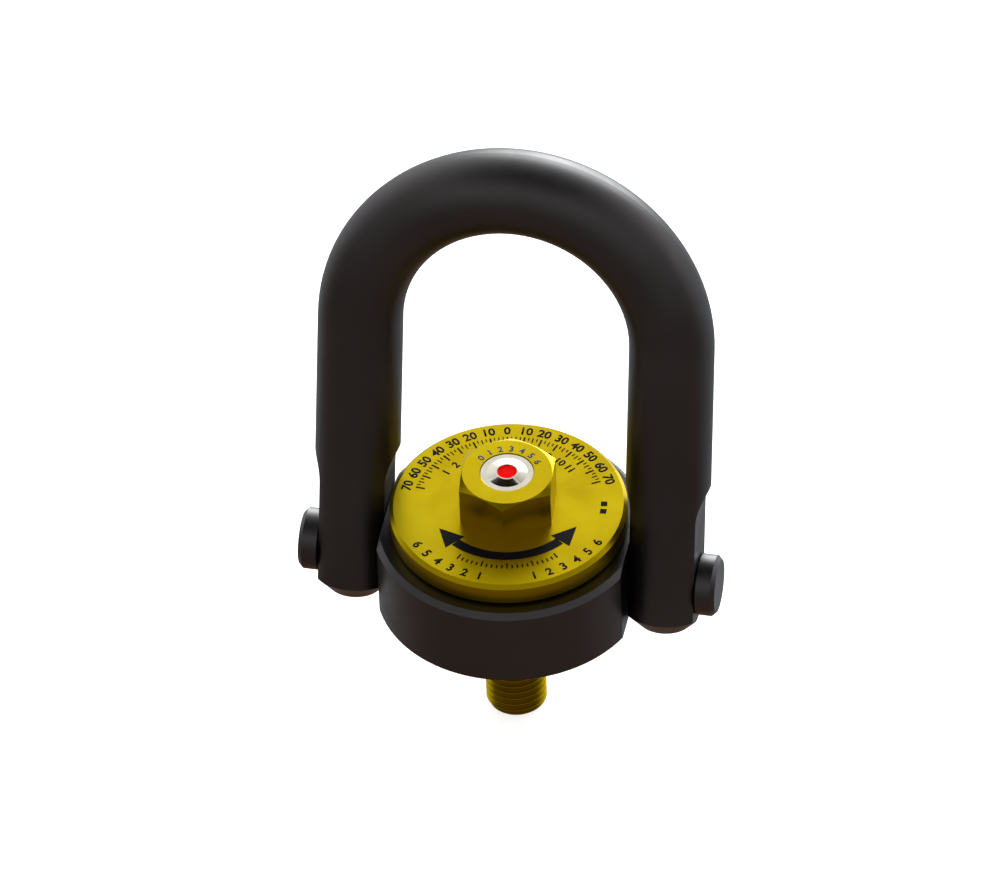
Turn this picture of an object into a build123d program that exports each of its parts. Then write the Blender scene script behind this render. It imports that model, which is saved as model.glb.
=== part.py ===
from build123d import *
from build123d.topology import SkipClean

import os
from math import ceil, cos, radians, tan

# Swivel hoist ring, millimetres, +Z up.
# The origin is the centre of the face that sits on the load, on the swivel axis.
# +X runs along the two pivot pins.

# ---- driving dimensions ---------------------------------------------------

# screw, 3/4 inch - 10 UNC
STUD_D = 19.05            # thread major diameter
PITCH = 2.54              # ten threads to the inch
STUD_LEN = 42.2           # from the seating face to the stud's end
STUD_END_CHAMFER = 1.6
STUD_TOP = 0.6            # top of the full-diameter stud, just inside the bushing
THREAD_START = -0.8       # the thread begins just below the seating face
SHANK_RELIEF = 0.39       # the plain shank is this much thinner than the thread
HEX_AF = 28.575           # across flats, 1 1/8 inch
HEX_H = 13.9
HEX_TURN = -24.0          # degrees from +X to a corner
HEX_TOP_EDGE = 0.24       # the circle on top is this far inside the flats

# bushing
FLANGE_D = 63.5
FLANGE_T = 6.2
SLEEVE_WALL = 6.17
SCREW_GAP = 0.305         # radial room for the thread to pass through the bore
RETAINER_BORE_H = 3.2     # depth of the counterbore for the retaining ring
RETAINER_ROOM = 1.7       # radial room round the ring

# swivel body
BODY_D = 84.8
BODY_H = 27.8
BODY_FLAT_W = 77.3        # between the two flats beside the bail
BODY_TOP_CHAMFER = 1.7
BODY_BOTTOM_CHAMFER = 0.3
SWIVEL_GAP = 0.06         # radial running clearance on the sleeve
END_PLAY = 0.3            # below the body, above the flange
TOP_PLAY = 0.35           # above the body, below the washer

# load washer
WASHER_STEP = 1.5         # its edge lies this far inside the body's flats
WASHER_T = 7.4
WASHER_CHAMFER = 1.25

# bail
BAR_D = 26.7
CROWN_H = 82.5            # crown centre above the pin axis
LEG_DROP = 14.9           # leg end below the pin axis
LEG_CHAMFER = 5.4
FLAT_DEPTH = 3.0          # milled flats, inside and outside of each leg
RUNOUT_H = 10.0           # height of the curved run-out above each flat
INNER_FLAT_RISE = 1.8     # the inside flats run this much higher than the outside ones
BAIL_TILT = 14.8          # degrees the bail leans towards +Y as stored
PIVOT_GAP = 0.08          # radial running clearance on the pin

# pivot pins and roll pins
PIN_UP = 10.6             # pin axis above the body's bottom
PIN_D = 14.3
PIN_HEAD_STEP = 2.5       # head radius over shank radius
PIN_HEAD_T = 6.25
PIN_HEAD_CHAMFER = 1.3
PIN_HEAD_EDGE = 0.3
SIDE_GAP = 0.3            # axial gap each side of the bail's leg
PIN_END_WALL = 7.0        # body left between a pin's hole and the sleeve's bore
PIN_END_GAP = 0.3
ROLL_PIN_D = 4.7625       # 3/16 inch
ROLL_PIN_LEN = 19.05
ROLL_PIN_WALL = 0.95
ROLL_PIN_SLOT = 0.9
ROLL_PIN_IN = 5.94        # roll pin centre from the end of the pivot pin's hole
ROLL_PIN_UP = 0.8         # roll pin's end above the body's bottom

# screw retaining ring
RING_T = 1.2
RING_BITE = 0.825         # radial depth in the screw's groove
RING_PROUD = 2.275        # radial height outside the thread
RING_Z = 1.25
RING_SLOT = 3.0
RING_PLAY = 0.05          # between the ring and its groove, on every side

# tension indicator in the screw head
CUP_D = 17.0
CUP_H = 5.15
CUP_RIM_W = 2.1
CUP_RIM_EDGE = 0.25
CUP_DROP = 0.3            # rim below the head's top
CONE_RISE = 0.55          # the shallow cone climbs this far from the rim to the bezel
BEZEL_W = 0.4
WINDOW_D = 6.2
WINDOW_T = 0.45
WINDOW_DROP = 0.05        # window below the bezel
DISC_OVERLAP = 0.4        # the disc reaches this far under the bezel, so it fills the window
DISC_T = 0.6
DISC_ROOM = 0.25          # radial room round the disc
DISC_GAP = 0.05           # between the disc and the window while the screw is slack
GAUGE_D = 3.0
GAUGE_GAP = 0.08
GAUGE_FLOOR = 17.2        # solid metal left between the gauge bore and the stud's end
GAUGE_END_GAP = 0.8       # the disc sinks into this as the screw stretches

# ---- worked-out dimensions --------------------------------------------------

STUD_R = STUD_D / 2
SHANK_R = (STUD_D - SHANK_RELIEF) / 2
BUSHING_R = STUD_R + SCREW_GAP
SLEEVE_R = BUSHING_R + SLEEVE_WALL
RING_IN_R = STUD_R - RING_BITE
RING_OUT_R = STUD_R + RING_PROUD
BODY_Z0 = FLANGE_T + END_PLAY
BODY_Z1 = BODY_Z0 + BODY_H
BODY_BORE_R = SLEEVE_R + SWIVEL_GAP
BODY_FLAT_X = BODY_FLAT_W / 2
WASHER_Z0 = BODY_Z1 + TOP_PLAY
WASHER_R = BODY_FLAT_X - WASHER_STEP
HEAD_Z0 = WASHER_Z0 + WASHER_T
HEAD_Z1 = HEAD_Z0 + HEX_H
PIN_Z = BODY_Z0 + PIN_UP
LEG_IN_X = BODY_FLAT_X + SIDE_GAP
LEG_X = LEG_IN_X - FLAT_DEPTH + BAR_D / 2
LEG_OUT_X = LEG_X + BAR_D / 2 - FLAT_DEPTH
FLAT_TOP_Z = HEAD_Z0      # the flats clear the body and the washer
PIN_HEAD_X = LEG_OUT_X + SIDE_GAP
PIN_HOLE_X = BODY_BORE_R + PIN_END_WALL
ROLL_PIN_X = PIN_HOLE_X + ROLL_PIN_IN
CUP_Z1 = HEAD_Z1 - CUP_DROP
CUP_Z0 = CUP_Z1 - CUP_H
BEZEL_Z = CUP_Z1 + CONE_RISE
WINDOW_Z1 = BEZEL_Z - WINDOW_DROP
WINDOW_Z0 = WINDOW_Z1 - WINDOW_T
DISC_D = WINDOW_D + 2 * DISC_OVERLAP
DISC_Z1 = WINDOW_Z0 - DISC_GAP
DISC_Z0 = DISC_Z1 - DISC_T
GAUGE_BORE_Z = GAUGE_FLOOR - STUD_LEN


# ---- small helpers ----------------------------------------------------------

def turned(*profile):
    """A solid of revolution about Z from (radius, height) points."""
    return revolve(make_face(Plane.XZ * Polyline(*profile, close=True)), axis=Axis.Z)


def rod(diameter, z0, z1, x=0, y=0):
    """An upright cylinder."""
    return Pos(x, y, (z0 + z1) / 2) * Cylinder(diameter / 2, z1 - z0)


def rod_x(diameter, x0, x1, z):
    """A cylinder along X."""
    return Pos((x0 + x1) / 2, 0, z) * Rot(0, 90, 0) * Cylinder(diameter / 2, x1 - x0)


def block(x0, x1, y0, y1, z0, z1):
    """A box between two corners."""
    return Pos((x0 + x1) / 2, (y0 + y1) / 2, (z0 + z1) / 2) * Box(x1 - x0, y1 - y0, z1 - z0)


def leaned(shape):
    """Turn about the pin axis from upright to the angle the bail is shown at."""
    return Pos(0, 0, PIN_Z) * Rot(-BAIL_TILT, 0, 0) * Pos(0, 0, -PIN_Z) * shape


def split_turn(first, second, longest):
    """(start, arc) pairs that cut a turn at two angles and then evenly, no arc over the longest."""
    between = (second - first) % 360
    pairs = []
    for start, whole in ((first, between), (second, 360 - between)):
        count = ceil(whole / longest)
        pairs += [(start + whole * i / count, whole / count) for i in range(count)]
    return pairs


# ---- pieces -----------------------------------------------------------------

def make_bushing():
    """Flanged sleeve: the flange sits on the load, the body turns on the sleeve."""
    edge = 0.8
    r_flange, r_ring = FLANGE_D / 2, RING_OUT_R + RETAINER_ROOM
    return turned(
        (r_ring, 0), (r_flange - edge, 0), (r_flange, edge), (r_flange, FLANGE_T - edge),
        (r_flange - edge, FLANGE_T), (SLEEVE_R, FLANGE_T), (SLEEVE_R, WASHER_Z0 - edge),
        (SLEEVE_R - edge, WASHER_Z0), (BUSHING_R, WASHER_Z0), (BUSHING_R, RETAINER_BORE_H),
        (r_ring, RETAINER_BORE_H))


def make_swivel_body():
    """Thick ring with two flats for the bail and a cross hole for each pivot pin."""
    r, low, high = BODY_D / 2, BODY_BOTTOM_CHAMFER, BODY_TOP_CHAMFER
    body = turned(
        (BODY_BORE_R, BODY_Z0), (r - low, BODY_Z0), (r, BODY_Z0 + low),
        (r, BODY_Z1 - high), (r - high, BODY_Z1), (BODY_BORE_R, BODY_Z1))
    outside = BODY_FLAT_X + BODY_D
    for side in (-1, 1):
        x0, x1 = sorted((side * BODY_FLAT_X, side * outside))
        body -= block(x0, x1, -BODY_D, BODY_D, BODY_Z0 - 1, BODY_Z1 + 1)
        x0, x1 = sorted((side * PIN_HOLE_X, side * outside))
        body -= rod_x(PIN_D, x0, x1, PIN_Z)
        top = BODY_Z0 + ROLL_PIN_UP + ROLL_PIN_LEN + PIN_END_GAP
        body -= rod(ROLL_PIN_D, BODY_Z0 - 1, top, x=side * ROLL_PIN_X)
    return body


def make_pivot_pin(side):
    """Headed pin, pressed into the body and cross drilled for its roll pin."""
    r, lead, edge, c = PIN_D / 2, 0.8, PIN_HEAD_EDGE, PIN_HEAD_CHAMFER
    r_head = r + PIN_HEAD_STEP
    x0, x1, x2 = PIN_HOLE_X + PIN_END_GAP, PIN_HEAD_X, PIN_HEAD_X + PIN_HEAD_T
    pin = turned(
        (0, x0), (r - lead, x0), (r, x0 + lead), (r, x1), (r_head - edge, x1),
        (r_head, x1 + edge), (r_head, x2 - c), (r_head - c, x2), (0, x2))
    pin = Pos(0, 0, PIN_Z) * Rot(0, 90, 0) * pin
    pin -= rod(ROLL_PIN_D, PIN_Z - PIN_D, PIN_Z + PIN_D, x=ROLL_PIN_X)
    return pin if side > 0 else Rot(0, 0, 180) * pin


def make_roll_pin(side):
    """Slotted spring pin that locks a pivot pin from below."""
    z0 = BODY_Z0 + ROLL_PIN_UP
    z1 = z0 + ROLL_PIN_LEN
    pin = rod(ROLL_PIN_D, z0, z1)
    pin = chamfer(pin.edges().filter_by(GeomType.CIRCLE), 0.35)
    pin -= rod(ROLL_PIN_D - 2 * ROLL_PIN_WALL, z0 - 1, z1 + 1)
    pin -= block(-ROLL_PIN_SLOT / 2, ROLL_PIN_SLOT / 2, 0, ROLL_PIN_D, z0 - 1, z1 + 1)
    return Pos(side * ROLL_PIN_X, 0, 0) * pin


def make_bail():
    """Forged round bar bent to a U, with milled flats and an eye on each leg."""
    r, z_end, z_crown = BAR_D / 2, PIN_Z - LEG_DROP, PIN_Z + CROWN_H
    section = Pos(LEG_X, 0, 0) * Rot(90, 0, 0) * Circle(r)
    crown = sweep(section, path=CenterArc((0, 0), LEG_X, 0, 180))
    bail = Pos(0, 0, z_crown) * Rot(90, 0, 0) * crown
    for side in (-1, 1):
        leg = turned((0, z_end), (r - LEG_CHAMFER, z_end), (r, z_end + LEG_CHAMFER),
                     (r, z_crown), (0, z_crown))
        bail += Pos(side * LEG_X, 0, 0) * leg
    # each flat ends in the curve that a round cutter leaves
    cutter_r = (RUNOUT_H ** 2 + FLAT_DEPTH ** 2) / (2 * FLAT_DEPTH)
    reach = 2 * FLAT_DEPTH
    for side in (-1, 1):
        for flat_x, away, top in ((LEG_IN_X, -1, FLAT_TOP_Z + INNER_FLAT_RISE),
                                  (LEG_OUT_X, 1, FLAT_TOP_Z)):
            x0, x1 = sorted((side * flat_x, side * (flat_x + away * reach)))
            bail -= block(x0, x1, -BAR_D, BAR_D, z_end - 1, top)
            axis_x = side * (flat_x + away * cutter_r)
            disc = Pos(axis_x, 0, top) * Rot(90, 0, 0) * Cylinder(cutter_r, 2 * BAR_D)
            bail -= disc & block(x0, x1, -BAR_D, BAR_D, top - 1, top + 2 * RUNOUT_H)
        x0, x1 = sorted((side * (LEG_IN_X - reach), side * (LEG_OUT_X + reach)))
        bail -= rod_x(PIN_D + 2 * PIVOT_GAP, x0, x1, PIN_Z)
    return leaned(bail)


def make_load_washer():
    """Thick plated washer between the screw head and the bushing."""
    r, c, z0, z1 = WASHER_R, WASHER_CHAMFER, WASHER_Z0, HEAD_Z0
    low, lead = 0.6, 0.4
    return turned((BUSHING_R, z0), (r - low, z0), (r, z0 + low), (r, z1 - c), (r - c, z1),
                  (BUSHING_R + lead, z1), (BUSHING_R, z1 - lead))


def make_stud():
    """Threaded rod: a helical 60 degree groove cut from a plain rod."""
    z_end, c = -STUD_LEN, STUD_END_CHAMFER
    flank = tan(radians(30))
    depth, root, mouth = 0.61343 * PITCH, PITCH / 4, PITCH * 7 / 8
    over = 0.12  # the cutter stands proud of the rod
    z_start = z_end - PITCH
    helix = Pos(0, 0, z_start) * Helix(PITCH, THREAD_START - mouth / 2 - z_start, STUD_R)
    tooth = Plane.XZ * Polyline(
        (STUD_R - depth, -root / 2), (STUD_R + over, -mouth / 2 - over * flank),
        (STUD_R + over, mouth / 2 + over * flank), (STUD_R - depth, root / 2), close=True)
    groove = sweep(make_face(Pos(0, 0, z_start) * tooth), path=helix, is_frenet=True)
    blank = turned((0, z_end), (STUD_R - c, z_end), (STUD_R, z_end + c), (STUD_R, STUD_TOP),
                   (0, STUD_TOP))
    # the blank's seam is turned away from the start of the helix
    stud = Rot(0, 0, -30) * blank - groove
    # divide the thread's faces lengthwise, so that each strip of the crest is short: one cut is
    # just before the groove's end, and one a little past where the crest meets the end chamfer
    groove_end = 360 * (THREAD_START - mouth / 2 - z_start) / PITCH
    crest_end = 360 * (c + mouth / 2) / PITCH
    before_end, past_end, longest = 1, 33, 72
    half_plane = make_face(Plane.XZ * Polyline(
        (0, z_end - 1), (STUD_D, z_end - 1), (STUD_D, STUD_TOP + 1), (0, STUD_TOP + 1), close=True))
    with SkipClean():
        slices = [
            (stud & revolve(Rot(0, 0, start) * half_plane, axis=Axis.Z, revolution_arc=arc)).solid()
            for start, arc in split_turn(groove_end - before_end, crest_end + past_end, longest)]
        return slices[0].fuse(*slices[1:], glue=True)


def make_screw():
    """Hex head screw, drilled for the gauge pin and recessed for the indicator."""
    r_groove = RING_IN_R - RING_PLAY
    groove_low, groove_high = RING_Z - RING_PLAY, RING_Z + RING_T + RING_PLAY
    upper = turned((0, STUD_TOP), (STUD_R, STUD_TOP), (r_groove, groove_low),
                   (r_groove, groove_high), (SHANK_R, groove_high), (SHANK_R, HEAD_Z0 + 1),
                   (0, HEAD_Z0 + 1))
    slope = tan(radians(30))
    r_corner = HEX_AF / 2 / cos(radians(30))
    r_top, r_skirt = HEX_AF / 2 - HEX_TOP_EDGE, r_corner + 1
    head = extrude(Pos(0, 0, HEAD_Z0) * Rot(0, 0, HEX_TURN) * RegularPolygon(r_corner, 6), HEX_H)
    head &= turned((0, HEAD_Z0 - 1), (r_skirt, HEAD_Z0 - 1),
                   (r_skirt, HEAD_Z1 - (r_skirt - r_top) * slope), (r_top, HEAD_Z1), (0, HEAD_Z1))
    upper += head
    upper -= rod(CUP_D, CUP_Z0, HEAD_Z1 + 1)
    bore = rod(GAUGE_D + 2 * GAUGE_GAP, GAUGE_BORE_Z, CUP_Z0 + 1)
    stud = make_stud()
    with SkipClean():
        return stud + upper - bore


def make_screw_retaining_ring():
    """Open ring in the screw's groove that keeps the screw in the bushing."""
    z0, z1 = RING_Z, RING_Z + RING_T
    ring = turned((RING_IN_R, z0), (RING_OUT_R, z0), (RING_OUT_R, z1), (RING_IN_R, z1))
    return ring - block(0, RING_OUT_R + 1, -RING_SLOT / 2, RING_SLOT / 2, z0 - 1, z1 + 1)


def make_indicator_cup():
    """Turned cup pressed into the screw head: a flat rim, a bright shallow cone and a thin bezel."""
    r_cup, r_well = CUP_D / 2, WINDOW_D / 2
    r_rim, r_bezel, r_hole = r_cup - CUP_RIM_W, r_well + BEZEL_W, DISC_D / 2 + DISC_ROOM
    return turned(
        (r_hole, CUP_Z0), (r_cup, CUP_Z0), (r_cup, CUP_Z1 - CUP_RIM_EDGE),
        (r_cup - CUP_RIM_EDGE, CUP_Z1), (r_rim, CUP_Z1), (r_bezel, BEZEL_Z), (r_well, BEZEL_Z),
        (r_well, WINDOW_Z0), (r_hole, WINDOW_Z0))


def make_indicator_window():
    """Clear window over the indicator disc."""
    return rod(WINDOW_D, WINDOW_Z0, WINDOW_Z1)


def make_indicator_disc():
    """Coloured disc bonded to the gauge pin's top."""
    return rod(DISC_D, DISC_Z0, DISC_Z1)


def make_gauge_pin():
    """Long pin in the screw's bore that carries the disc."""
    pin = rod(GAUGE_D, GAUGE_BORE_Z + GAUGE_END_GAP, DISC_Z0)
    return chamfer(pin.edges().group_by(Axis.Z)[0], 0.4)


parts = {
    "bushing": make_bushing(),
    "swivel_body": make_swivel_body(),
    "pivot_pin_left": make_pivot_pin(-1),
    "pivot_pin_right": make_pivot_pin(1),
    "roll_pin_left": make_roll_pin(-1),
    "roll_pin_right": make_roll_pin(1),
    "bail": make_bail(),
    "load_washer": make_load_washer(),
    "screw": make_screw(),
    "screw_retaining_ring": make_screw_retaining_ring(),
    "indicator_cup": make_indicator_cup(),
    "indicator_window": make_indicator_window(),
    "indicator_disc": make_indicator_disc(),
    "gauge_pin": make_gauge_pin(),
}

os.makedirs("parts", exist_ok=True)
for name, shape in parts.items():
    export_step(shape, f"parts/{name}.step")
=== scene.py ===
"""Swivel hoist ring: finishes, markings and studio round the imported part.

Every length is in metres, in the part's own frame: +Z up from the face that sits on the load, +X along the
pivot pins. The panel in the 3D view's sidebar lists each step.
"""

import math

import bmesh
import bpy
from mathutils import Matrix, Vector


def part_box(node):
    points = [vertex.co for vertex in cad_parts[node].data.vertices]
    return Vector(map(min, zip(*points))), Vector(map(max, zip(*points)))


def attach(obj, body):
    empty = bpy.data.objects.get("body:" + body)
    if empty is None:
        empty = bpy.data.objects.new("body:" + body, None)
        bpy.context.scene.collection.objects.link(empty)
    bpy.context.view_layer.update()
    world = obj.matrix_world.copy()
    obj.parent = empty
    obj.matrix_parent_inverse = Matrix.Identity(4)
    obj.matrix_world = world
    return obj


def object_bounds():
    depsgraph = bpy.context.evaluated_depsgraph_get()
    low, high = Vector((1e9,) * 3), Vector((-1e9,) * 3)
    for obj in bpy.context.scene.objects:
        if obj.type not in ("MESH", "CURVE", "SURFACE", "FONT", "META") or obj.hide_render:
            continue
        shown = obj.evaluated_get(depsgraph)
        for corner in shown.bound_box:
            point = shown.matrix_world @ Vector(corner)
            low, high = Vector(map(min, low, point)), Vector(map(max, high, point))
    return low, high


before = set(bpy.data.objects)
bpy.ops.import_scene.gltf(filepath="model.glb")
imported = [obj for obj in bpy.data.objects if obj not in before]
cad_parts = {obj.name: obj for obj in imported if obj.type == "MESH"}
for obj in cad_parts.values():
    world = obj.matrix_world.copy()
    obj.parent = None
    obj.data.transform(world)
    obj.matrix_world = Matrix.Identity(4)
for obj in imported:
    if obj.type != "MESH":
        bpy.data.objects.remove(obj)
CAD_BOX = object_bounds()

bl_info = {
    "name": "Swivel hoist ring",
    "version": (1, 0, 0),
    "blender": (4, 5, 0),
    "location": "View3D > Sidebar > Hoist Ring",
    "description": "Finishes, markings and studio for a swivel hoist ring",
    "category": "Object",
}

MM = 0.001

# marks on the gold pieces
BACK, FRONT = 102.0, -79.5      # middles of the washer's back and front scales, degrees round Z from +X
MARK_GAP = 0.01 * MM            # what a mark stands off the metal by
DIGIT_HEIGHT = 0.72             # height of a digit, as a share of the font's size
STROKE_GROWTH = 0.025           # what the digits' outlines grow by, as a share of the font's size


# ---- helpers ------------------------------------------------------------------

def colour(code):
    """Linear RGBA from an sRGB hex code."""
    parts = [int(code[i:i + 2], 16) / 255 for i in (0, 2, 4)]
    linear = [c / 12.92 if c <= 0.04045 else ((c + 0.055) / 1.055) ** 2.4 for c in parts]
    return (*linear, 1.0)


def add(tree, kind, inputs=None, **settings):
    """Add a node, set its settings, and set or link its inputs."""
    node = tree.nodes.new(kind)
    for key, value in settings.items():
        setattr(node, key, value)
    for key, value in (inputs or {}).items():
        if isinstance(value, bpy.types.NodeSocket):
            tree.links.new(value, node.inputs[key])
        else:
            node.inputs[key].default_value = value
    return node


def new_material(name):
    """An empty material with its output node."""
    material = bpy.data.materials.new(name)
    material.use_nodes = True
    material.node_tree.nodes.clear()
    output = material.node_tree.nodes.new("ShaderNodeOutputMaterial")
    return material, material.node_tree, output


def per(size_mm):
    """Texture scale that gives features of about this size on Object coordinates."""
    return 1 / (size_mm * MM)


def rings_every(spacing_mm):
    """Wave texture scale that gives a ring at this spacing: at scale 1 the wave's period is 2 pi / 20."""
    return per(spacing_mm) * 2 * math.pi / 20


def ramp(tree, factor, stops):
    """A colour ramp from (position, colour) stops."""
    node = add(tree, "ShaderNodeValToRGB", {"Fac": factor})
    elements = node.color_ramp.elements
    elements[0].position, elements[0].color = stops[0]
    elements[1].position, elements[1].color = stops[-1]
    for position, value in stops[1:-1]:
        elements.new(position).color = value
    return node


def give(node_name, material):
    """Put a material on a CAD node."""
    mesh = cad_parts[node_name].data
    mesh.materials.clear()
    mesh.materials.append(material)


def mesh_object(name, bm, material, body):
    """Turn a bmesh into a piece that rides on a body."""
    mesh = bpy.data.meshes.new(name)
    bm.to_mesh(mesh)
    bm.free()
    mesh.materials.append(material)
    piece = bpy.data.objects.new(name, mesh)
    bpy.context.scene.collection.objects.link(piece)
    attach(piece, body)
    return piece


# ---- materials ------------------------------------------------------------------

def black_oxide(name, base, dark, grain_mm, bump, lo_rough, hi_rough):
    """Hot black oxide on steel, oiled: an almost black metal whose film drifts between brown and blue.

    The base metal's texture shows through: a fine pebble on the shot-blasted forging, finer on turned faces.
    """
    material, tree, output = new_material(name)
    where = add(tree, "ShaderNodeTexCoord").outputs["Object"]
    drift = add(tree, "ShaderNodeTexNoise", {"Vector": where, "Scale": per(38), "Detail": 3.0,
                                             "Roughness": 0.55})
    film = ramp(tree, drift.outputs["Fac"], [(0.32, dark), (0.68, base)])
    grain = add(tree, "ShaderNodeTexNoise", {"Vector": where, "Scale": per(grain_mm), "Detail": 4.0,
                                             "Roughness": 0.6})
    smear = add(tree, "ShaderNodeTexNoise", {"Vector": where, "Scale": per(9), "Detail": 5.0,
                                             "Roughness": 0.6, "Distortion": 0.4})
    rough = add(tree, "ShaderNodeMapRange", {"Value": smear.outputs["Fac"], "From Min": 0.3,
                                             "From Max": 0.7, "To Min": lo_rough, "To Max": hi_rough})
    relief = add(tree, "ShaderNodeBump", {"Height": grain.outputs["Fac"], "Strength": bump,
                                          "Distance": 0.05 * MM})
    shader = add(tree, "ShaderNodeBsdfPrincipled", {
        "Base Color": film.outputs["Color"], "Metallic": 1.0,
        "Roughness": rough.outputs["Result"], "Normal": relief.outputs["Normal"]})
    tree.links.new(shader.outputs["BSDF"], output.inputs["Surface"])
    return material


def yellow_zinc(name, base, deep, turned):
    """Yellow chromate over zinc on turned steel: a lemon gold with faint green and amber clouds.

    Turned faces carry rings round the axis, drawn one every 2.2 mm, coarser than real, so that they show.
    """
    material, tree, output = new_material(name)
    where = add(tree, "ShaderNodeTexCoord").outputs["Object"]
    clouds = add(tree, "ShaderNodeTexNoise", {"Vector": where, "Scale": per(17), "Detail": 4.0,
                                              "Roughness": 0.55, "Distortion": 0.3})
    film = ramp(tree, clouds.outputs["Fac"], [(0.3, deep), (0.62, base)])
    fine = add(tree, "ShaderNodeTexNoise", {"Vector": where, "Scale": per(0.8), "Detail": 3.0,
                                            "Roughness": 0.6})
    rings = add(tree, "ShaderNodeTexWave", {"Vector": where, "Scale": rings_every(2.2),
                                            "Distortion": 0.6, "Detail": 1.0, "Detail Scale": 1.0},
                wave_type="RINGS", rings_direction="Z")
    height = add(tree, "ShaderNodeMath", {0: rings.outputs["Fac"], 1: turned, 2: fine.outputs["Fac"]},
                 operation="MULTIPLY_ADD")
    relief = add(tree, "ShaderNodeBump", {"Height": height.outputs["Value"], "Strength": 0.09,
                                          "Distance": 0.03 * MM})
    rough = add(tree, "ShaderNodeMapRange", {"Value": clouds.outputs["Fac"], "From Min": 0.3,
                                             "From Max": 0.7, "To Min": 0.29, "To Max": 0.36})
    shader = add(tree, "ShaderNodeBsdfPrincipled", {
        "Base Color": film.outputs["Color"], "Metallic": 1.0, "Specular Tint": (1.0, 0.98, 0.8, 1),
        "Roughness": rough.outputs["Result"], "Normal": relief.outputs["Normal"]})
    tree.links.new(shader.outputs["BSDF"], output.inputs["Surface"])
    return material


def plain_metal(name, base, roughness, ring_mm, bump):
    """Bare turned or ground steel, its rings of tool marks drawn coarser than real so that they show."""
    material, tree, output = new_material(name)
    where = add(tree, "ShaderNodeTexCoord").outputs["Object"]
    rings = add(tree, "ShaderNodeTexWave", {"Vector": where, "Scale": rings_every(ring_mm),
                                            "Distortion": 0.4, "Detail": 2.0},
                wave_type="RINGS", rings_direction="Z")
    cloud = add(tree, "ShaderNodeTexNoise", {"Vector": where, "Scale": per(3), "Detail": 3.0})
    tint = ramp(tree, cloud.outputs["Fac"], [(0.3, tuple(0.88 * c for c in base[:3]) + (1,)), (0.7, base)])
    rough = add(tree, "ShaderNodeMapRange", {"Value": cloud.outputs["Fac"], "From Min": 0.3, "From Max": 0.7,
                                             "To Min": roughness * 0.85, "To Max": roughness * 1.2})
    relief = add(tree, "ShaderNodeBump", {"Height": rings.outputs["Fac"], "Strength": bump,
                                          "Distance": 0.02 * MM})
    shader = add(tree, "ShaderNodeBsdfPrincipled", {
        "Base Color": tint.outputs["Color"], "Metallic": 1.0,
        "Roughness": rough.outputs["Result"], "Normal": relief.outputs["Normal"]})
    tree.links.new(shader.outputs["BSDF"], output.inputs["Surface"])
    return material


def dark_mark(name, base):
    """A thin dark mark on the metal, printed or etched: near-black, low in sheen, a little uneven."""
    material, tree, output = new_material(name)
    where = add(tree, "ShaderNodeTexCoord").outputs["Object"]
    speckle = add(tree, "ShaderNodeTexNoise", {"Vector": where, "Scale": per(0.5), "Detail": 3.0})
    tint = ramp(tree, speckle.outputs["Fac"],
                [(0.3, base), (0.75, tuple(2.2 * c for c in base[:3]) + (1,))])
    shader = add(tree, "ShaderNodeBsdfPrincipled", {
        "Base Color": tint.outputs["Color"], "Roughness": 0.55, "Specular IOR Level": 0.05})
    tree.links.new(shader.outputs["BSDF"], output.inputs["Surface"])
    return material


def red_enamel(name, base):
    """Bright red enamel on the disc: even and matte, with slow orange peel."""
    material, tree, output = new_material(name)
    where = add(tree, "ShaderNodeTexCoord").outputs["Object"]
    peel = add(tree, "ShaderNodeTexNoise", {"Vector": where, "Scale": per(1.2), "Detail": 2.0})
    tint = ramp(tree, peel.outputs["Fac"], [(0.3, tuple(0.85 * c for c in base[:3]) + (1,)), (0.7, base)])
    relief = add(tree, "ShaderNodeBump", {"Height": peel.outputs["Fac"], "Strength": 0.15,
                                          "Distance": 0.02 * MM})
    shader = add(tree, "ShaderNodeBsdfPrincipled", {
        "Base Color": tint.outputs["Color"], "Roughness": 0.6, "Specular IOR Level": 0.0,
        "Normal": relief.outputs["Normal"]})
    tree.links.new(shader.outputs["BSDF"], output.inputs["Surface"])
    return material


def clear_window(name):
    """Clear polished acrylic: smooth, colourless and thin, so the disc below shows at full strength."""
    material, tree, output = new_material(name)
    where = add(tree, "ShaderNodeTexCoord").outputs["Object"]
    haze = add(tree, "ShaderNodeTexNoise", {"Vector": where, "Scale": per(2), "Detail": 2.0})
    rough = add(tree, "ShaderNodeMapRange", {"Value": haze.outputs["Fac"], "To Min": 0.0, "To Max": 0.06})
    shader = add(tree, "ShaderNodeBsdfPrincipled", {
        "Base Color": (1, 1, 1, 1), "Roughness": rough.outputs["Result"], "Transmission Weight": 1.0,
        "IOR": 1.49, "Alpha": 0.02})
    tree.links.new(shader.outputs["BSDF"], output.inputs["Surface"])
    return material


def lit_acrylic(name, base):
    """Back-lit white acrylic sheet: an even pale ground on which shadows stay faint."""
    material, tree, output = new_material(name)
    where = add(tree, "ShaderNodeTexCoord").outputs["Object"]
    haze = add(tree, "ShaderNodeTexNoise", {"Vector": where, "Scale": per(60), "Detail": 3.0})
    tint = ramp(tree, haze.outputs["Fac"], [(0.0, tuple(0.985 * c for c in base[:3]) + (1,)), (1.0, base)])
    shader = add(tree, "ShaderNodeBsdfPrincipled", {
        "Base Color": tint.outputs["Color"], "Roughness": 0.9, "Specular IOR Level": 0.0,
        "Emission Color": base, "Emission Strength": 0.75})
    tree.links.new(shader.outputs["BSDF"], output.inputs["Surface"])
    return material


# ---- settings ---------------------------------------------------------------------

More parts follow.
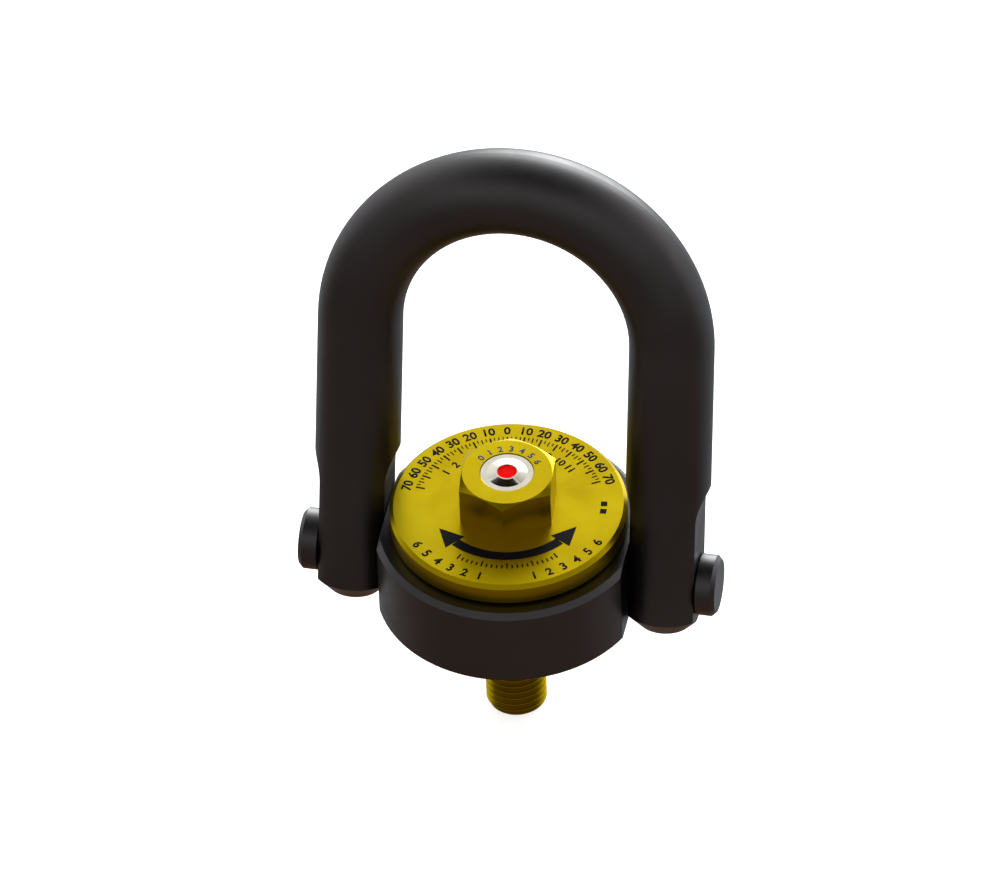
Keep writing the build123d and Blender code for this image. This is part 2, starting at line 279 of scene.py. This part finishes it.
class HoistRingFinish(bpy.types.PropertyGroup):
    """Colours of the ring's finishes."""
    oxide: bpy.props.FloatVectorProperty(
        name="Black oxide", description="Lighter tone of the black oxide film", subtype="COLOR", size=4,
        min=0, max=1, default=colour("525152"))
    oxide_dark: bpy.props.FloatVectorProperty(
        name="Black oxide, dark", description="Darker, browner tone of the film", subtype="COLOR", size=4,
        min=0, max=1, default=colour("4b4849"))
    zinc: bpy.props.FloatVectorProperty(
        name="Yellow zinc", description="Main tone of the yellow chromate", subtype="COLOR", size=4,
        min=0, max=1, default=colour("b39c00"))
    zinc_deep: bpy.props.FloatVectorProperty(
        name="Yellow zinc, deep", description="Deeper tone of the chromate's clouds", subtype="COLOR",
        size=4, min=0, max=1, default=colour("ab9200"))
    ink: bpy.props.FloatVectorProperty(
        name="Marking ink", description="Ink of the washer's markings", subtype="COLOR", size=4,
        min=0, max=1, default=colour("070608"))
    disc: bpy.props.FloatVectorProperty(
        name="Disc red", description="Enamel on the indicator disc", subtype="COLOR", size=4,
        min=0, max=1, default=colour("ff0a06"))


class HoistRingMarks(bpy.types.PropertyGroup):
    """Sizes of the printed marks on the load washer."""
    letter: bpy.props.FloatProperty(
        name="Numeral height", description="Height of the scale's numerals", default=3.1 * MM,
        unit="LENGTH", min=1 * MM)
    outer_radius: bpy.props.FloatProperty(
        name="Outer row", description="Radius of the outer row of marks", default=31.4 * MM,
        unit="LENGTH", min=20 * MM)
    ink_height: bpy.props.FloatProperty(
        name="Ink height", description="Thickness of the printed ink", default=0.05 * MM,
        unit="LENGTH", min=0.01 * MM)


# ---- printed marks ------------------------------------------------------------------

def flat_text(body_text, height):
    """A bmesh of one short text, flat, centred across and standing on its base line."""
    curve = bpy.data.curves.new("numeral", "FONT")
    curve.body = body_text
    curve.size = height / DIGIT_HEIGHT
    curve.offset = STROKE_GROWTH * curve.size
    curve.align_x = "CENTER"
    curve.resolution_u = 4
    holder = bpy.data.objects.new("numeral", curve)
    mesh = bpy.data.meshes.new_from_object(holder)
    bm = bmesh.new()
    bm.from_mesh(mesh)
    bpy.data.objects.remove(holder)
    bpy.data.curves.remove(curve)
    bpy.data.meshes.remove(mesh)
    bmesh.ops.remove_doubles(bm, verts=bm.verts, dist=0.001 * MM)
    return bm


def place(bm, radius, angle, z, outward=True):
    """Move a flat mark to a place on a ring about Z, its top pointing out or in."""
    turn = angle - math.pi / 2 if outward else angle + math.pi / 2
    spot = Vector((radius * math.cos(angle), radius * math.sin(angle), z))
    bmesh.ops.transform(bm, matrix=Matrix.Translation(spot) @ Matrix.Rotation(turn, 4, "Z"), verts=bm.verts)


def merge(target, source):
    """Add one bmesh to another."""
    mesh = bpy.data.meshes.new("part")
    source.to_mesh(mesh)
    source.free()
    target.from_mesh(mesh)
    bpy.data.meshes.remove(mesh)


def bar(width, height):
    """A flat upright bar standing on its base line."""
    bm = bmesh.new()
    bmesh.ops.create_grid(bm, x_segments=1, y_segments=1, size=0.5)
    bmesh.ops.scale(bm, vec=(width, height, 1), verts=bm.verts)
    bmesh.ops.translate(bm, vec=(0, height / 2, 0), verts=bm.verts)
    return bm


def arc_band(r_in, r_out, start, end, z):
    """A flat band along an arc about Z."""
    bm = bmesh.new()
    a = bm.verts.new((r_in * math.cos(start), r_in * math.sin(start), z))
    b = bm.verts.new((r_out * math.cos(start), r_out * math.sin(start), z))
    edge = bm.edges.new((a, b))
    steps = max(4, int(abs(end - start) / math.radians(2)))
    bmesh.ops.spin(bm, geom=[a, b, edge], axis=(0, 0, 1), cent=(0, 0, 0), angle=end - start, steps=steps,
                   use_merge=False, use_duplicate=False)
    return bm


def arrow_head(radius, angle, length, width, z, clockwise):
    """A flat triangle whose tip points along a ring about Z."""
    bm = bmesh.new()
    bmesh.ops.create_circle(bm, cap_ends=True, segments=3, radius=1)
    bmesh.ops.scale(bm, vec=(width / math.sqrt(3), length / 1.5, 1), verts=bm.verts)
    spot = Vector((radius * math.cos(angle), radius * math.sin(angle), z))
    turn = angle + math.pi if clockwise else angle
    bmesh.ops.transform(bm, matrix=Matrix.Translation(spot) @ Matrix.Rotation(turn, 4, "Z"), verts=bm.verts)
    return bm


def raise_ink(bm, thickness):
    """Give flat marks their printed thickness."""
    bmesh.ops.recalc_face_normals(bm, faces=bm.faces)
    for face in bm.faces:
        if face.normal.z < 0:
            face.normal_flip()
    out = bmesh.ops.extrude_face_region(bm, geom=list(bm.faces), use_keep_orig=True)
    top = [item for item in out["geom"] if isinstance(item, bmesh.types.BMVert)]
    bmesh.ops.translate(bm, vec=(0, 0, thickness), verts=top)
    bmesh.ops.recalc_face_normals(bm, faces=bm.faces)


# ---- operators ------------------------------------------------------------------------

class HOISTRING_OT_bail(bpy.types.Operator):
    """Finish the forged bail"""
    bl_idname = "hoistring.bail"
    bl_label = "Bail"

    def execute(self, context):
        finish = context.scene.hoist_ring_finish
        give("bail", black_oxide("black oxide on blasted forging", finish.oxide, finish.oxide_dark,
                                 grain_mm=0.9, bump=0.16, lo_rough=0.34, hi_rough=0.44))
        return {"FINISHED"}


class HOISTRING_OT_body(bpy.types.Operator):
    """Finish the swivel body and the pivot pins"""
    bl_idname = "hoistring.body"
    bl_label = "Swivel body and pins"

    def execute(self, context):
        finish = context.scene.hoist_ring_finish
        turned = black_oxide("black oxide on turned steel", finish.oxide, finish.oxide_dark,
                             grain_mm=0.6, bump=0.08, lo_rough=0.3, hi_rough=0.4)
        for name in ("swivel_body", "pivot_pin_left", "pivot_pin_right"):
            give(name, turned)
        return {"FINISHED"}


class HOISTRING_OT_hardware(bpy.types.Operator):
    """Finish the bushing, roll pins and retaining ring"""
    bl_idname = "hoistring.hardware"
    bl_label = "Bushing and small hardware"

    def execute(self, context):
        give("bushing", plain_metal("hardened and ground steel", colour("55534f"), 0.32, 3.77, 0.15))
        sprung = plain_metal("blued spring steel", colour("35373d"), 0.28, 3.14, 0.1)
        for name in ("roll_pin_left", "roll_pin_right", "screw_retaining_ring"):
            give(name, sprung)
        give("gauge_pin", plain_metal("drawn steel wire", colour("9a9892"), 0.25, 2.51, 0.1))
        return {"FINISHED"}


class HOISTRING_OT_washer(bpy.types.Operator):
    """Finish the load washer and the screw"""
    bl_idname = "hoistring.washer"
    bl_label = "Load washer and screw"

    def execute(self, context):
        finish = context.scene.hoist_ring_finish
        give("load_washer", yellow_zinc("yellow zinc on turned plate", finish.zinc, finish.zinc_deep, 0.5))
        give("screw", yellow_zinc("yellow zinc on screw", finish.zinc, finish.zinc_deep, 0.1))
        return {"FINISHED"}


class HOISTRING_OT_marks(bpy.types.Operator):
    """Print the turning scale and the swivel arrow on the load washer"""
    bl_idname = "hoistring.marks"
    bl_label = "Washer markings"

    def execute(self, context):
        marks = context.scene.hoist_ring_marks
        finish = context.scene.hoist_ring_finish
        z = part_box("load_washer")[1].z + MARK_GAP
        bm = bmesh.new()
        self.back_scale(bm, marks, z)
        self.swivel_arrow(bm, z)
        self.front_scales(bm, marks, z)
        self.squares(bm, marks, z)
        raise_ink(bm, marks.ink_height)
        mesh_object("washer_marks", bm, dark_mark("screen-printed black ink", finish.ink), "washer")
        return {"FINISHED"}

    def back_scale(self, bm, marks, z):
        """Tens either way from the middle, a row of ticks inside them and a row of numbers from 1 to 11."""
        step, ticks_per_step = 10.4, 4
        tick_top, inner_row = marks.outer_radius - 1.3 * MM, marks.outer_radius - 8.2 * MM
        for i in range(-7, 8):
            angle = math.radians(BACK - i * step)
            self.numeral(bm, abs(i) * 10, marks.letter, marks.outer_radius, angle, z)
        for i in range(-7 * ticks_per_step, 7 * ticks_per_step + 1):
            angle = math.radians(BACK - i * step / ticks_per_step)
            on_step = i % ticks_per_step == 0
            height = (2.9 if on_step else 1.9 if i % 2 == 0 else 1.2) * MM
            tick = bar((0.55 if on_step else 0.35) * MM, height)
            place(tick, tick_top - height, angle, z)
            merge(bm, tick)
        for i in range(-5, 6):
            angle = math.radians(BACK - i * step)
            self.numeral(bm, i + 6, 0.85 * marks.letter, inner_row, angle, z)

    def swivel_arrow(self, bm, z):
        """A bold double-headed arrow bent round the screw's front."""
        radius, width, half_arc, tip = 23.2 * MM, 3.3 * MM, 44, 51
        merge(bm, arc_band(radius - width / 2, radius + width / 2, math.radians(FRONT - half_arc),
                           math.radians(FRONT + half_arc), z))
        for side in (-1, 1):
            merge(bm, arrow_head(radius, math.radians(FRONT + side * tip), 8 * MM, 7.5 * MM, z,
                                 clockwise=side < 0))

    def front_scales(self, bm, marks, z):
        """Ticks in the middle and a row of numbers on each side, read from the front."""
        tick_step, number_step, first_number = 3.3, 8.6, 15
        tick_base, number_top = 28.7 * MM, marks.outer_radius + 3.0 * MM
        for i in range(-10, 11):
            angle = math.radians(FRONT + i * tick_step)
            tick = bar(0.5 * MM, (2.2 if i % 5 == 0 else 1.4) * MM)
            place(tick, tick_base, angle, z, outward=False)
            merge(bm, tick)
        for side in (-1, 1):
            for i in range(6):
                angle = math.radians(FRONT + side * (first_number + i * number_step))
                self.numeral(bm, i + 1, marks.letter, number_top, angle, z, outward=False)

    def squares(self, bm, marks, z):
        """A pair of plain squares at the right."""
        size, middle, apart = 2.0 * MM, 6.5, 3.2
        for i in (-1, 1):
            square = bar(size, size)
            place(square, marks.outer_radius - 2.6 * MM, math.radians(middle + i * apart), z)
            merge(bm, square)

    def numeral(self, bm, value, height, radius, angle, z, outward=True):
        """One number of a scale, on its ring."""
        mark = flat_text(str(value), height)
        place(mark, radius, angle, z, outward)
        merge(bm, mark)


class HOISTRING_OT_head_marks(bpy.types.Operator):
    """Etch a plain seven-step scale on the hex head, behind the indicator"""
    bl_idname = "hoistring.head_marks"
    bl_label = "Head marks"

    def execute(self, context):
        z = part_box("screw")[1].z + MARK_GAP
        letter, radius, thickness = 2.3 * MM, 9.3 * MM, 0.03 * MM
        first, step = 152, 19.5
        bm = bmesh.new()
        for i in range(7):
            mark = flat_text(str(i), letter)
            place(mark, radius, math.radians(first - i * step), z)
            merge(bm, mark)
        raise_ink(bm, thickness)
        mesh_object("head_marks", bm, dark_mark("laser-etched blue-grey mark", colour("34384c")), "screw")
        return {"FINISHED"}


class HOISTRING_OT_indicator(bpy.types.Operator):
    """Finish the tension indicator's cup, window and disc"""
    bl_idname = "hoistring.indicator"
    bl_label = "Tension indicator"

    def execute(self, context):
        finish = context.scene.hoist_ring_finish
        give("indicator_cup", plain_metal("bright turned steel", colour("efeadb"), 0.06, 1.57, 0.02))
        give("indicator_window", clear_window("clear polished acrylic"))
        give("indicator_disc", red_enamel("red enamel", finish.disc))
        return {"FINISHED"}


class HOISTRING_OT_stage(bpy.types.Operator):
    """Lay the floor, light the studio and set the camera"""
    bl_idname = "hoistring.stage"
    bl_label = "Studio"

    def execute(self, context):
        scene = context.scene
        half_width, gap = 12, 0.2 * MM
        bm = bmesh.new()
        bmesh.ops.create_grid(bm, x_segments=1, y_segments=1, size=half_width)
        bmesh.ops.translate(bm, vec=(0, 0, CAD_BOX[0].z - gap), verts=bm.verts)
        mesh = bpy.data.meshes.new("floor")
        bm.to_mesh(mesh)
        bm.free()
        mesh.materials.append(lit_acrylic("back-lit white acrylic", colour("f7f7f7")))
        floor = bpy.data.objects.new("floor", mesh)
        floor.visible_glossy = False
        scene.collection.objects.link(floor)

        self.room(scene)
        overhead = self.softbox(scene, "overhead", (0, 0, 2.5), (4.0, 4.0), 60)
        overhead.visible_glossy = False
        self.camera(scene)
        scene.view_settings.view_transform = "Standard"
        return {"FINISHED"}

    def room(self, scene):
        """The room that the metal mirrors: a dim front, a bright back wall and a warm dark bench below."""
        world = bpy.data.worlds.new("studio")
        scene.world = world
        world.use_nodes = True
        tree = world.node_tree
        tree.nodes.clear()
        way = add(tree, "ShaderNodeTexCoord").outputs["Generated"]
        split = add(tree, "ShaderNodeSeparateXYZ", {"Vector": way})
        height = add(tree, "ShaderNodeMapRange", {"Value": split.outputs["Z"], "From Min": -1.0})
        # colours by height, from straight down at 0 to straight up at 1
        bench, ceiling = (0.11, 0.057, 0.03, 1), (0.02, 0.02, 0.02, 1)
        front_wall = [(0.0, bench), (0.15, (0.097, 0.069, 0.06, 1)), (0.45, (0.085, 0.069, 0.062, 1)),
                      (0.58, (0.11, 0.107, 0.105, 1)), (0.85, (0.23, 0.225, 0.22, 1)), (1.0, ceiling)]
        back_wall = [(0.0, bench), (0.15, (0.13, 0.138, 0.146, 1)), (0.45, (0.32, 0.335, 0.345, 1)),
                     (0.58, (0.55, 0.56, 0.56, 1)), (0.7, (0.43, 0.43, 0.425, 1)),
                     (0.85, (0.33, 0.33, 0.323, 1)), (1.0, ceiling)]
        front = ramp(tree, height.outputs["Result"], front_wall)
        back = ramp(tree, height.outputs["Result"], back_wall)
        behind = add(tree, "ShaderNodeMapRange", {"Value": split.outputs["Y"], "From Min": -0.2,
                                                  "From Max": 0.6}, interpolation_type="SMOOTHSTEP")
        room = add(tree, "ShaderNodeMix", {0: behind.outputs["Result"], 6: front.outputs["Color"],
                                           7: back.outputs["Color"]}, data_type="RGBA")
        # a soft window low in the back wall
        toward = add(tree, "ShaderNodeVectorMath", {0: way, 1: (0.07, 0.973, 0.22)},
                     operation="DOT_PRODUCT")
        window = add(tree, "ShaderNodeMapRange", {"Value": toward.outputs["Value"], "From Min": 0.86,
                                                  "From Max": 1.0, "To Max": 3.1},
                     interpolation_type="SMOOTHSTEP")
        glow = add(tree, "ShaderNodeMix", {0: window.outputs["Result"], 6: room.outputs[2],
                                           7: (0.95, 1.0, 1.0, 1)}, data_type="RGBA", blend_type="ADD",
                   clamp_factor=False)
        light = add(tree, "ShaderNodeBackground", {"Color": glow.outputs[2], "Strength": 2.6})
        output = tree.nodes.new("ShaderNodeOutputWorld")
        tree.links.new(light.outputs["Background"], output.inputs["Surface"])

    def softbox(self, scene, name, place_at, size, power):
        """A rectangular area light aimed at the ring."""
        lamp = bpy.data.lights.new(name, "AREA")
        lamp.shape = "RECTANGLE"
        lamp.size, lamp.size_y = size
        lamp.energy = power
        holder = bpy.data.objects.new(name, lamp)
        holder.location = place_at
        aim = Vector((0, 0, 0.05)) - Vector(place_at)
        holder.rotation_mode = "QUATERNION"
        holder.rotation_quaternion = aim.to_track_quat("-Z", "Y")
        scene.collection.objects.link(holder)
        return holder

    def camera(self, scene):
        """A long lens from the front and above, rolled slightly."""
        azimuth, elevation, roll = (math.radians(a) for a in (13.2, 44.0, -2.56))
        distance, view_width = 10.0, 310.56 * MM
        back = Vector((math.sin(azimuth) * math.cos(elevation), -math.cos(azimuth) * math.cos(elevation),
                       math.sin(elevation)))
        right = Vector((math.cos(azimuth), math.sin(azimuth), 0))
        up = back.cross(right)
        across = right * math.cos(roll) + up * math.sin(roll)
        above = up * math.cos(roll) - right * math.sin(roll)
        ring_centre = Vector((0, 0, 68.3 * MM))
        aim = ring_centre - across * 1.77 * MM + above * 0.75 * MM
        data = bpy.data.cameras.new("camera")
        data.sensor_width = 36
        data.lens = data.sensor_width * distance / view_width
        data.clip_start, data.clip_end = 1, 30
        holder = bpy.data.objects.new("camera", data)
        pose = Matrix((across, above, back)).transposed().to_4x4()
        pose.translation = aim + back * distance
        holder.matrix_world = pose
        scene.collection.objects.link(holder)
        scene.camera = holder


class HOISTRING_PT_panel(bpy.types.Panel):
    """Steps that dress the hoist ring"""
    bl_idname = "HOISTRING_PT_panel"
    bl_label = "Hoist Ring"
    bl_space_type = "VIEW_3D"
    bl_region_type = "UI"
    bl_category = "Hoist Ring"

    def draw(self, context):
        for group in (context.scene.hoist_ring_finish, context.scene.hoist_ring_marks):
            for key in group.__annotations__:
                self.layout.prop(group, key)
        for step in STEPS:
            self.layout.operator(step.bl_idname)


GROUPS = (HoistRingFinish, HoistRingMarks)
STEPS = (HOISTRING_OT_bail, HOISTRING_OT_body, HOISTRING_OT_hardware, HOISTRING_OT_washer,
         HOISTRING_OT_marks, HOISTRING_OT_head_marks, HOISTRING_OT_indicator, HOISTRING_OT_stage)
CLASSES = (*GROUPS, *STEPS, HOISTRING_PT_panel)


def register():
    for item in CLASSES:
        bpy.utils.register_class(item)
    bpy.types.Scene.hoist_ring_finish = bpy.props.PointerProperty(type=HoistRingFinish)
    bpy.types.Scene.hoist_ring_marks = bpy.props.PointerProperty(type=HoistRingMarks)


def unregister():
    del bpy.types.Scene.hoist_ring_marks
    del bpy.types.Scene.hoist_ring_finish
    for item in reversed(CLASSES):
        bpy.utils.unregister_class(item)


def main():
    register()
    for step in STEPS:
        group, name = step.bl_idname.split(".")
        getattr(getattr(bpy.ops, group), name)()


if __name__ == "__main__":
    main()
